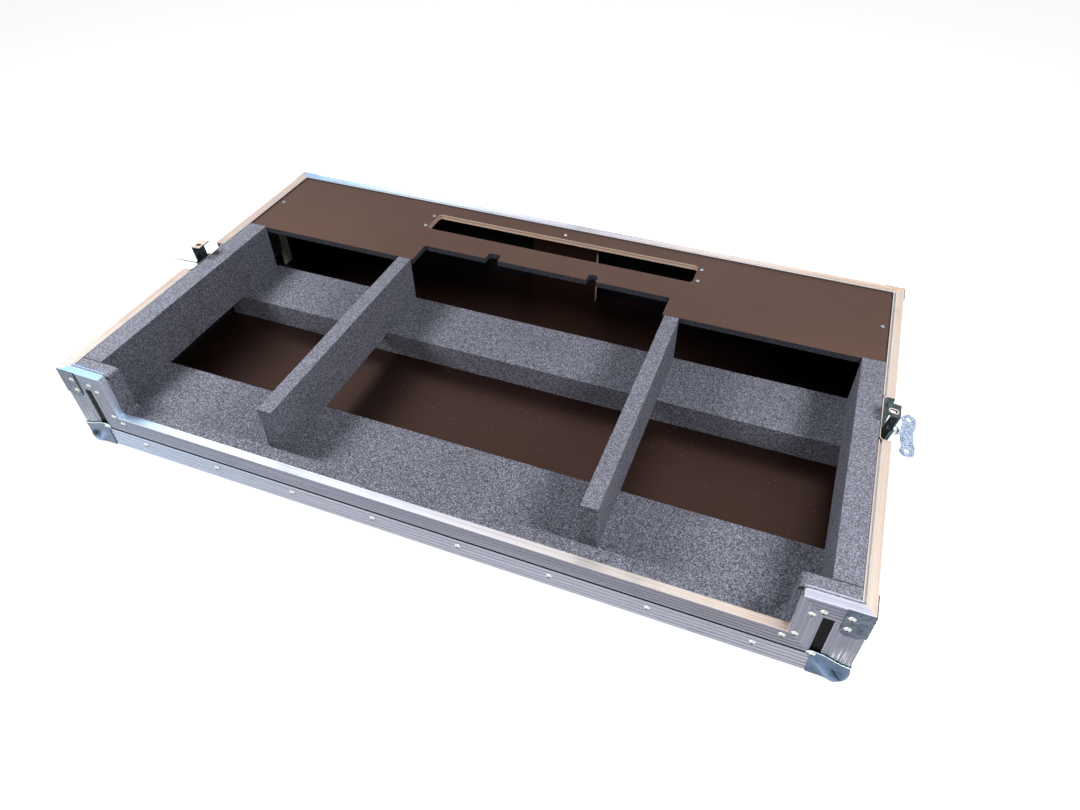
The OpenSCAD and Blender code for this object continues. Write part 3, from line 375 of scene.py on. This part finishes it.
def aluminium(name, along, lit_top_stops, shaded_side_stops, head=None, lid_groove=None, marks=None):
    """Extruded aluminium: draw lines along one axis, and painted reflections whose colours change
    along the case.

    What faces up, and all above head, takes the top's colours, which are brighter than the
    sides': painted highlight on the tops and painted shade on the sides. The lid's groove lies
    between two distances from the middle of the case and is painted pale and not metallic:
    painted light that takes out its shade. Marks are what else shows on a profile: a function of
    the finish and its colour."""
    metal = Finish(name)
    coarse, fine_scale = [900] * 3, [2600] * 3
    coarse[along], fine_scale[along] = 2.5, 8
    drawn = metal.grain(1.0, 3, 0.6, metal.stretched(*coarse))
    fine = metal.grain(1.0, 2, 0.5, metal.stretched(*fine_scale))
    cloudy = metal.grain(14, 3, 0.6)
    handled = metal.grain(60, 4, 0.7)
    spot = metal.spot()
    upward = metal.ramp(metal.faces()[2], 0.55, 0.8)
    if head:
        upward = (upward + (spot[2] > head)).held()
    reach = metal.ramp(spot[0], -case_reach, case_reach)
    top = metal.node("ShaderNodeValToRGB", {"stops": lit_top_stops}, reach)
    side = metal.node("ShaderNodeValToRGB", {"stops": shaded_side_stops}, reach)
    body = metal.blend(side, top, upward)
    body = metal.blend(body, (0.10, 0.10, 0.12), metal.ramp(drawn, 0.50, 0.75) * 0.35)
    body = metal.blend(body, (0.95, 0.95, 0.97), metal.ramp(drawn, 0.48, 0.25) * 0.22)
    body = metal.blend(body, (0.12, 0.12, 0.14), metal.ramp(cloudy, 0.55, 0.75) * 0.20)
    body = metal.blend(body, (0.90, 0.91, 0.93), metal.ramp(handled, 0.70, 0.82) * 0.25)
    metallic = 1.0
    if lid_groove:
        across = abs(spot[1 - along])
        lit_groove = ((across > lid_groove[0]) * (across < lid_groove[1])
                  * (spot[2] < rim_groove_high) * (spot[2] > rim_groove_low))
        # Painted light: the lid's groove is painted pale and not metallic, so it shows no shade.
        body = metal.blend(body, (0.92, 0.92, 0.94), lit_groove)
        metallic = 1.0 - lit_groove
    if marks:
        body = marks(metal, body)
    return metal.shade(
        Base_Color=body,
        Metallic=metallic,
        Roughness=0.30 + 0.20 * fine + 0.10 * cloudy,
        Normal=metal.bump(fine, 0.45, 0.00005))


def front_joint_shade(metal, body):
    """Painted shade on the front angle's upper edge, in the joint under the lip."""
    _, y, z = metal.spot()
    joint = (z > front_joint_low) * (z < front_joint_high) * (y < -0.3)
    return metal.blend(body, (0.004, 0.004, 0.005), joint)


def upright_marks(metal, body):
    """Bright scuffs low on the corners, and a pale blue painted reflection on the inward faces near
    the ends, such as the inner walls of the two steps.
    """
    x, _, z = metal.spot()
    streak = metal.grain(1.0, 2, 0.7, metal.stretched(1500, 1500, 22))
    low_down = metal.ramp(z, 0.074, 0.050) * (abs(x) > corner_inner)
    body = metal.blend(body, white, metal.ramp(streak, 0.53, 0.64) * low_down)
    # Painted reflection: the inward faces near the ends turn pale blue.
    return metal.blend(body, (0.80, 0.84, 0.93), metal.faces()[0] * x < -step_reach)


# The tops' runs from pale blue at the left end to peach at the right are painted reflections; the sides'
# darker slate runs are painted shade.
cool_to_warm = ((0.0, (0.42, 0.60, 0.82)), (0.25, (0.74, 0.82, 0.90)), (0.5, (0.74, 0.74, 0.82)),
                (0.78, (0.78, 0.71, 0.67)), (1.0, (0.80, 0.64, 0.53)))
cool = ((0.0, (0.36, 0.56, 0.82)), (0.15, (0.42, 0.60, 0.82)), (1.0, (0.66, 0.67, 0.78)))
warm = ((0.0, (0.80, 0.68, 0.62)), (1.0, (0.78, 0.67, 0.59)))
front_sides = ((0.0, (0.31, 0.38, 0.48)), (0.35, (0.30, 0.31, 0.37)), (1.0, (0.28, 0.29, 0.35)))
plain_sides = ((0.0, (0.30, 0.32, 0.38)), (1.0, (0.28, 0.29, 0.35)))
upper_sides = ((0.0, (0.165, 0.187, 0.24)), (0.4, (0.175, 0.182, 0.23)), (1.0, (0.175, 0.18, 0.225)))

dress(aluminium("bottom_aluminium_front", 0, cool_to_warm, front_sides, marks=front_joint_shade),
      "bottom_edging_front")
dress(aluminium("bottom_aluminium_rear", 0, cool_to_warm, plain_sides), "bottom_edging_rear")
dress(aluminium("bottom_aluminium_y", 1, warm, plain_sides), "bottom_edging_left", "bottom_edging_right")
dress(aluminium("lip_aluminium", 0, cool_to_warm, upper_sides, lip_top), "front_lip")
dress(aluminium("rim_aluminium_x", 0, cool_to_warm, upper_sides, rim_top, long_groove), "rim_rear")
dress(aluminium("cap_aluminium", 0, cool, upper_sides, rim_top, long_groove), "block_caps")
dress(aluminium("rim_aluminium_y", 1, warm, upper_sides, rim_top, end_groove), "rim_left", "rim_right")
dress(aluminium("upright_aluminium", 2, warm, upper_sides, marks=upright_marks),
      "corner_edging_front_left", "corner_edging_front_right", "corner_edging_rear_left",
      "corner_edging_rear_right", "step_profiles")


# ---------------------------------------------------------------- batten straps
# A strip of ribbed aluminium runs down each end wall under the shelf.

strap = Finish("strap_aluminium")
strap_lines = strap.grain(1.0, 3, 0.6, strap.stretched(600, 600, 3))
dress(strap.shade(
    Base_Color=strap.blend((0.70, 0.62, 0.58), (0.95, 0.90, 0.87), strap.ramp(strap_lines, 0.35, 0.65)),
    Metallic=0.1,
    Roughness=0.4 + 0.2 * strap_lines), "batten_straps")


# ---------------------------------------------------------------- braces, dishes and latches
# Zinc plated sheet, a little cloudy and scuffed where hands and other cases rub it: bluish on
# the braces, dark green in the latches, where the dish's edge and the hooks' lips get a cream
# painted highlight.

dish_edge = 0.1455
collar_height = 0.0004


def zinc(name, dark, light, scuff, grit=0.0, painted_glint=None):
    """Zinc plated sheet between two colours; what passes the glint test gets a cream painted highlight.
    """
    steel = Finish(name)
    _, flake = steel.cells(240.0, 0)
    cloud = steel.grain(45, 4, 0.65)
    scratch = steel.grain(1.0, 3, 0.7, steel.stretched(240, 900, 90))
    body = steel.blend(dark, light, steel.ramp(cloud, 0.35, 0.7))
    body = steel.blend(body, (0.62, 0.66, 0.70), flake * 0.12)
    body = steel.blend(body, (0.80, 0.82, 0.84), steel.ramp(scratch, 0.64, 0.80) * scuff)
    if grit:
        sand = steel.grain(440, 2, 0.7)
        body = steel.blend(body, (0.90, 0.95, 1.0), steel.ramp(sand, 0.50, 0.60) * grit)
        body = steel.blend(body, (0.10, 0.16, 0.34), steel.ramp(sand, 0.46, 0.36) * grit)
    if painted_glint:
        body = steel.blend(body, (0.86, 0.76, 0.66), painted_glint(steel))
    return steel.shade(
        Base_Color=body,
        Metallic=1.0,
        Roughness=0.24 + 0.20 * cloud + 0.06 * flake,
        Normal=steel.bump(cloud, 0.25, 0.0002))


def lip_glint(name, lean, all_over):
    """A test for where a hook's cream painted highlight goes: the collar round its oval hole, or also
    all that faces up.

    The hook leans out from upright by an angle in degrees, to its own side of the case."""
    lean = math.radians(math.copysign(lean, nodes[name].data.vertices[0].co.x))
    up_the_hook = Vector((math.sin(lean), 0, math.cos(lean)))
    collar_top = max(corner.co.dot(up_the_hook) for corner in nodes[name].data.vertices)

    def painted_glint(steel):
        x, _, z = steel.spot()
        glint_mask = x * up_the_hook.x + z * up_the_hook.z > collar_top - collar_height
        return (glint_mask + (steel.faces()[2] > 0.8)).held() if all_over else glint_mask

    return painted_glint


slate = (0.030, 0.045, 0.068), (0.075, 0.105, 0.145)
dark_green = (0.018, 0.028, 0.034), (0.09, 0.13, 0.14)
pale_green = (0.16, 0.23, 0.23), (0.42, 0.52, 0.52)
pale_blue = (0.30, 0.40, 0.64), (0.48, 0.60, 0.82)
grey = (0.09, 0.12, 0.14), (0.42, 0.45, 0.46)

dress(zinc("slate_zinc", *slate, 0.22), "top_braces_front", "top_braces_rear")
dress(zinc("green_zinc", *dark_green, 0.30), "latch_carrier_left", "latch_carrier_right")
dress(zinc("dish_edge_zinc", *dark_green, 0.30, painted_glint=lambda steel: steel.spot()[2] > dish_edge),
      "latch_dish_left", "latch_dish_right")
dress(zinc("dish_zinc", *pale_green, 0.3), "handle_dish_left", "handle_dish_right")
dress(zinc("wing_zinc_right", *pale_blue, 0.25, grit=0.8), "latch_wing_right")
# Painted shade: the left wing is the same part as the right one, in darker grey colours.
dress(zinc("wing_zinc_left", *grey, 0.35, grit=0.25), "latch_wing_left")
for name, lean, all_over in (("latch_hook_right", 9, False), ("latch_hook_left", 6, True)):
    dress(zinc(name + "_zinc", *dark_green, 0.30, painted_glint=lip_glint(name, lean, all_over)), name)


# ---------------------------------------------------------------- rivets
# Blind rivets with a domed head, painted lighter on top as highlight and darker below as shade;
# the hole that the mandrel broke off in is painted near black as shade.


def rivet_steel(name, axis):
    """Steel with a painted highlight above and painted shade below, and a hole seen along one axis
    that is painted near black as shade.
    """
    steel = Finish(name)
    faces = steel.faces()
    ahead = abs(faces[axis])
    shaded_hole = ((ahead > 0.992) + (ahead < 0.3)).held()
    wear = steel.grain(500, 3, 0.6)
    # Painted highlight on the upper side of the head, painted shade on its lower side.
    body = steel.blend((0.12, 0.12, 0.13), (0.74, 0.77, 0.76), steel.ramp(faces[2], -0.10, 0.50))
    body = steel.blend(body, (0.40, 0.41, 0.42), steel.ramp(wear, 0.45, 0.7) * 0.4)
    body = steel.blend(body, (0.02, 0.02, 0.02), shaded_hole)
    return steel.shade(Base_Color=body, Metallic=1.0, Roughness=0.20 + 0.14 * wear + 0.4 * shaded_hole)


dress(rivet_steel("rivet_steel_front", 1), "rivets_front", "rivets_rear")
dress(rivet_steel("rivet_steel_ends", 0), "rivets_ends")


# ---------------------------------------------------------------- hubs, screws, pins and bails
# The latches' domed hubs are chromed, with painted shade round their shoulders. The shelf's
# screws are dull zinc. The latches' pins and the handles' bails are bright steel rod.

chrome = Finish("hub_chrome")
turned = chrome.grain(420, 3, 0.6)
hub_colour = chrome.blend((0.50, 0.60, 0.62), (0.86, 0.93, 0.95), chrome.ramp(turned, 0.4, 0.6))
# Painted shade on the dome's shoulders, where it faces out to either end.
shaded_shoulder = chrome.ramp(abs(chrome.faces()[0]), 0.45, 0.75)
hub_colour = chrome.blend(hub_colour, (0.02, 0.03, 0.04), shaded_shoulder)
dress(chrome.shade(Base_Color=hub_colour, Metallic=1.0, Roughness=0.16 + 0.12 * turned),
      "latch_spindle_left", "latch_spindle_right")

dull = Finish("screw_zinc")
dulled = dull.grain(420, 3, 0.6)
dress(dull.shade(
    Base_Color=dull.blend((0.10, 0.12, 0.15), (0.42, 0.45, 0.50), dull.ramp(dulled, 0.42, 0.62)),
    Metallic=1.0,
    Roughness=0.26 + 0.15 * dulled), "shelf_screws")

bright = Finish("bright_steel")
wear = bright.grain(300, 3, 0.6)
dress(bright.shade(
    Base_Color=bright.blend((0.55, 0.56, 0.56), (0.85, 0.85, 0.84), wear),
    Metallic=1.0,
    Roughness=0.14 + 0.16 * wear),
    "latch_hinge_pins", "wing_pin_left", "wing_pin_right", "handle_bail_left", "handle_bail_right")


# ---------------------------------------------------------------- ball corners
# Each bottom corner has a cap pressed from zinc plated sheet: three leaves round a hollow ball.
# A fold runs from each rivet tab down to the ball, with a sharp hollow beside it, and the upper
# edges flare out a little.

corner_steel = Finish("corner_zinc")
rub = corner_steel.grain(70, 4, 0.65)
flecks = corner_steel.grain(900, 2, 0.6)
# Painted highlights on the fold's ridge and the upper cut edges, painted shade in the hollow beside the
# fold.
fold_light, hollow_shade, cut_edge = [
    corner_steel.node("ShaderNodeAttribute", {"attribute_name": name}, out=2)
    for name in ("fold", "hollow", "cut_edge")]
cap_colour = corner_steel.blend(
    (0.055, 0.085, 0.135), (0.10, 0.145, 0.22), corner_steel.ramp(rub, 0.35, 0.7))
cap_colour = corner_steel.blend(cap_colour, (0.17, 0.24, 0.38), fold_light * 0.75)
cap_colour = corner_steel.blend(cap_colour, (0.012, 0.016, 0.022), hollow_shade * 0.9)
edge_light = (cut_edge * 0.9 + 0.4 * flecks * cut_edge).held()
cap_colour = corner_steel.blend(cap_colour, (0.62, 0.76, 0.80), edge_light)
cap_colour = corner_steel.blend(
    cap_colour, (0.30, 0.36, 0.44), corner_steel.ramp(flecks, 0.68, 0.8) * 0.4)
cap_finish = corner_steel.shade(
    Base_Color=cap_colour,
    Metallic=1.0,
    Roughness=0.28 + 0.16 * rub,
    Normal=corner_steel.bump(rub, 0.25, 0.0003))

corner_sheet = 0.0012
corner_foot = 0.0028
case_half = Vector((0.570, 0.320))
leaf_thickness = 0.0018
leaf_reach = 0.050
leaf_past_corner = 0.001
remesh_size = 0.00055
merge_distance = 0.00001
# Lines on a leaf, each point as its distance from the case's corner and its height
leaf_top = ((0.0, 0.0357), (0.0105, 0.0367), (0.021, 0.0404), (0.0325, 0.0451),
            (0.0452, 0.0468), (0.0530, 0.040))
fold_line = ((0.0430, 0.0330), (0.0286, 0.0177), (0.0160, 0.0040))
hollow_line = ((0.0185, 0.0205), (0.0055, 0.0100))
fold_width, fold_widening, hollow_width = 0.0036, 0.0020, 0.0016
fold_rise, flare_rise, most_rise = 0.0034, 0.0008, 0.0052
flare_width, cut_width, cut_depth = 0.0022, 0.0011, 0.006


def height_along(line, place):
    """The line's height over a place, held at its ends."""
    for (a, high_a), (b, high_b) in zip(line, line[1:]):
        if place <= b:
            return high_a + (high_b - high_a) * max(0.0, place - a) / (b - a)
    return line[-1][1]


def away_from(line, point):
    """How far a point is from a bent line, and how far along it, from 0 to 1."""
    best = (math.inf, 0.0)
    for i, (start, end) in enumerate(zip(line, line[1:])):
        start, run = Vector(start), Vector(end) - Vector(start)
        t = min(1.0, max(0.0, (point - start).dot(run) / run.length_squared))
        best = min(best, ((point - start - run * t).length, (i + t) / (len(line) - 1)))
    return best


def bell(distance, width):
    """1 at no distance, and less the further away."""
    return math.exp(-(distance / width) ** 2)


deselect()
cap_mesh = nodes["ball_corner_front_right"].data.copy()
cap_mesh.materials.clear()
first_cap = bpy.data.objects.new("ball_corner_cap_front_right", cap_mesh)
bpy.context.scene.collection.objects.link(first_cap)
bpy.context.view_layer.objects.active = first_cap
first_cap.select_set(True)
bpy.ops.object.mode_set(mode="EDIT")
bpy.ops.mesh.select_all(action="SELECT")
bpy.ops.mesh.remove_doubles(threshold=merge_distance)
bpy.ops.object.mode_set(mode="OBJECT")
first_cap.data.remesh_voxel_size = remesh_size
bpy.ops.object.voxel_remesh()
soften = first_cap.modifiers.new("soften", "SMOOTH")
soften.iterations = 3
soften.factor = 0.5
bpy.ops.object.modifier_apply(modifier=soften.name)

traces = {name: first_cap.data.attributes.new(name, "FLOAT", "POINT").data
          for name in ("fold", "hollow", "cut_edge")}
for number, corner in enumerate(first_cap.data.vertices):
    outer_face = case_half + Vector((corner_sheet, corner_sheet))
    inset = outer_face - Vector((abs(corner.co.x), abs(corner.co.y)))
    high = corner.co.z - corner_foot
    for axis in (0, 1):
        depth, across = inset[axis], inset[1 - axis]
        if depth > leaf_thickness or across < -leaf_past_corner:
            continue
        point = Vector((across, high))
        off, along = away_from(fold_line, point)
        fold = bell(off, fold_width + fold_widening * along) * min(1.0, along * 4 + 0.15)
        off, _ = away_from(hollow_line, point)
        hollow = bell(off, hollow_width)
        under_edge = height_along(leaf_top, across) - high
        flare = bell(max(0.0, under_edge), flare_width) if across < leaf_reach else 0.0
        rise = fold_rise * fold + flare_rise * flare
        room = case_half[axis] + most_rise - abs(corner.co[axis])
        corner.co[axis] += math.copysign(max(0.0, min(rise, room)), corner.co[axis])
        traces["fold"][number].value = max(traces["fold"][number].value, fold)
        traces["hollow"][number].value = max(traces["hollow"][number].value, hollow)
        if across > leaf_past_corner:
            near_edge = bell(max(0.0, under_edge), cut_width)
            traces["cut_edge"][number].value = near_edge if under_edge < cut_depth else 0.0
bpy.ops.object.shade_smooth()
first_cap.data.materials.append(cap_finish)

for side, back, name in ((1, -1, "front_right"), (-1, -1, "front_left"),
                         (1, 1, "rear_right"), (-1, 1, "rear_left")):
    cap = first_cap
    if name != "front_right":
        deselect()
        cap = bpy.data.objects.new("ball_corner_cap_" + name, first_cap.data.copy())
        bpy.context.scene.collection.objects.link(cap)
        cap.data.transform(Matrix.Diagonal((side, -back, 1, 1)))
        if side * -back < 0:
            cap.data.flip_normals()
    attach(cap, "case")
    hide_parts("ball_corner_" + name)


# ---------------------------------------------------------------- foam slabs
# Closed cell foam, cut with a hot wire and glued in: light and dark cells lie side by side, so
# it looks speckled. Edges are soft, and the cut faces wander a little. Two low bars lie along
# the floor, and two dividers run from front to back.

high_up = 0.12
seam_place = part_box("foam_front")[1][1]
seam_half_width = 0.0008
seam_inner = 0.49

foam = Finish("speckled_foam")
_, cell_shade = foam.cells(850.0, 0)
_, pore_shade = foam.cells(1700.0, 1)
even_cell = foam.ramp(cell_shade * 0.6 + pore_shade * 0.4, 0.12, 0.90)
light_cell = even_cell * even_cell
foam_colour = foam.blend((0.075, 0.076, 0.092), (0.60, 0.62, 0.77), light_cell)
patch = foam.grain(16, 3, 0.6)
foam_colour = foam.blend(foam_colour, (0.07, 0.07, 0.08), foam.ramp(patch, 0.5, 0.75) * 0.22)
foam_x, foam_y, foam_z = foam.spot()
foam_up = foam.faces()[2]
# Painted light: the tops of the high pieces are lighter.
painted_lit_top = (foam_up > 0.6) * (foam_z > high_up)
foam_colour = foam.blend(foam_colour, (0.52, 0.53, 0.63), painted_lit_top * 0.15)
# Painted shade: the upright faces are darker.
shaded_side = abs(foam_up) < 0.5
foam_colour = foam.blend(foam_colour, (0.03, 0.03, 0.035), shaded_side * 0.24)
seam = ((abs(foam_y - seam_place) < seam_half_width) * (foam_z > high_up)
        * (abs(foam_x) > seam_inner))
foam_colour = foam.blend(foam_colour, (0.03, 0.03, 0.035), seam * 0.75)
foam_finish = foam.shade(
    Base_Color=foam_colour,
    Roughness=0.9,
    Normal=foam.bump(light_cell, 0.35, 0.0003),
    Specular_IOR_Level=0.06)

edge_softness = 0.0005
top_rise = 0.0022
slice_pitch = 0.016
wander = bpy.data.textures.new("hot_wire_wander", "CLOUDS")
wander.noise_scale = 0.09
wander_depth = 0.0005


def new_block(name, low, high):
    """A block from corner to corner, left in edit mode."""
    deselect()
    low, high = Vector(low), Vector(high)
    bpy.ops.mesh.primitive_cube_add(size=1, location=(low + high) / 2)
    piece = bpy.context.object
    piece.name = piece.data.name = name
    piece.scale = high - low
    bpy.ops.object.transform_apply(location=True, rotation=True, scale=True)
    bpy.ops.object.mode_set(mode="EDIT")
    return piece


def slice_block(axis, places):
    """Cut all of the mesh in edit mode across one axis at each place."""
    normal = [0, 0, 0]
    normal[axis] = 1
    for place in places:
        bpy.ops.mesh.select_all(action="SELECT")
        point = [0, 0, 0]
        point[axis] = place
        bpy.ops.mesh.bisect(plane_co=point, plane_no=normal)


def steps(low, high):
    """Even places between two ends, about a slice's pitch apart."""
    count = max(1, round((high - low) / slice_pitch))
    return [low + (high - low) * i / count for i in range(1, count)]


def finish_foam(piece, node):
    """Let the faces wander a little, and put the piece in its node's place."""
    bpy.ops.object.mode_set(mode="OBJECT")
    wave = piece.modifiers.new("wander", "DISPLACE")
    wave.texture = wander
    wave.texture_coords = "LOCAL"
    wave.strength = wander_depth
    wave.mid_level = 0.5
    bpy.ops.object.modifier_apply(modifier=wave.name)
    bpy.ops.object.shade_smooth_by_angle(angle=math.radians(50))
    even = piece.modifiers.new("even", "WEIGHTED_NORMAL")
    even.keep_sharp = True
    bpy.ops.object.modifier_apply(modifier=even.name)
    piece.data.materials.append(foam_finish)
    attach(piece, "case")
    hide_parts(node)


def foam_slab(name, node, rise):
    """A plain slab of foam in the place of its node, its top pushed up by its tight fit."""
    low, high = [Vector(corner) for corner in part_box(node)]
    high.z += rise
    piece = new_block(name, low, high)
    bpy.ops.mesh.select_all(action="SELECT")
    bpy.ops.mesh.bevel(offset=edge_softness, segments=2, profile=0.5)
    for axis in range(3):
        slice_block(axis, steps(low[axis], high[axis]))
    finish_foam(piece, node)


foam_slab("left_foam", "foam_side_left", top_rise)
foam_slab("right_foam", "foam_side_right", top_rise)
foam_slab("left_divider", "foam_divider_left", 0)
foam_slab("right_divider", "foam_divider_right", 0)
foam_slab("front_bar_foam", "foam_low_front", 0)
foam_slab("rear_bar_foam", "foam_low_rear", 0)


# ---------------------------------------------------------------- front foam
# The front strip is one piece: low behind the lip, with a raised block behind each step whose
# inner top corner is rounded and whose foot runs into the strip in a curve. The blocks' front
# faces are cut back at the top, to leave room for the caps.

strip_top = 0.069
block_start = 0.487
block_corner_radius = 0.008
block_foot_radius = 0.010
recess_low = 0.1367
recess_back = -0.3037
recess_depth = 0.0035


def choose(piece, kind, test):
    """In edit mode, select the faces or edges that pass a test, and no others."""
    bpy.ops.mesh.select_mode(type={"faces": "FACE", "edges": "EDGE"}[kind])
    bpy.ops.mesh.select_all(action="DESELECT")
    mesh = bmesh.from_edit_mesh(piece.data)
    for element in getattr(mesh, kind):
        if test(element):
            element.select_set(True)
    mesh.select_flush_mode()
    bmesh.update_edit_mesh(piece.data)


def across_block(edge, height):
    """An edge that runs front to back at a block's inner side, at one height."""
    a, b = (corner.co for corner in edge.verts)
    return (abs(abs(a.x) - block_start) < 1e-4 and abs(a.x - b.x) < 1e-5
            and abs(a.z - height) < 1e-3 and abs(b.z - height) < 1e-3)


strip_low, strip_high = [Vector(corner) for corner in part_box("foam_front")]
strip_high.z += top_rise
front_strip = new_block("front_foam", strip_low, (strip_high.x, strip_high.y, strip_top))
slice_block(0, (-block_start, block_start))
choose(front_strip, "faces", lambda face: face.normal.z > 0.9
       and abs(face.calc_center_median().x) > block_start)
bpy.ops.mesh.extrude_region_move(
    TRANSFORM_OT_translate={"value": (0, 0, strip_high.z - strip_top)})
choose(front_strip, "edges", lambda edge: across_block(edge, strip_high.z))
bpy.ops.mesh.bevel(offset=block_corner_radius, segments=6, profile=0.5)
choose(front_strip, "edges", lambda edge: across_block(edge, strip_top))
bpy.ops.mesh.bevel(offset=block_foot_radius, segments=6, profile=0.5)
slice_block(1, (recess_back,))
slice_block(2, (recess_low,))
choose(front_strip, "faces", lambda face: face.normal.y < -0.9
       and face.calc_center_median().z > recess_low + 0.0001)
bpy.ops.mesh.extrude_region_move(TRANSFORM_OT_translate={"value": (0, 0, 0)})
bpy.ops.transform.translate(value=(0, recess_depth, 0))
bpy.ops.mesh.select_all(action="SELECT")
bpy.ops.mesh.remove_doubles(threshold=merge_distance)
slice_block(0, steps(strip_low.x, strip_high.x))
slice_block(2, steps(strip_low.z, strip_high.z))
finish_foam(front_strip, "foam_front")


# ---------------------------------------------------------------- handle grips
# A ribbed rubber sleeve pushed over the steel rod of each handle.

rubber = Finish("black_rubber")
matt = rubber.grain(700, 2, 0.5)
dress(rubber.shade(
    Base_Color=rubber.blend((0.012, 0.012, 0.012), (0.035, 0.035, 0.036), matt),
    Roughness=0.6 + 0.15 * matt,
    Normal=rubber.bump(rubber.bands("Y", 55.0, Distortion=0.0), 0.6, 0.0006)),
    "handle_grip_left", "handle_grip_right")
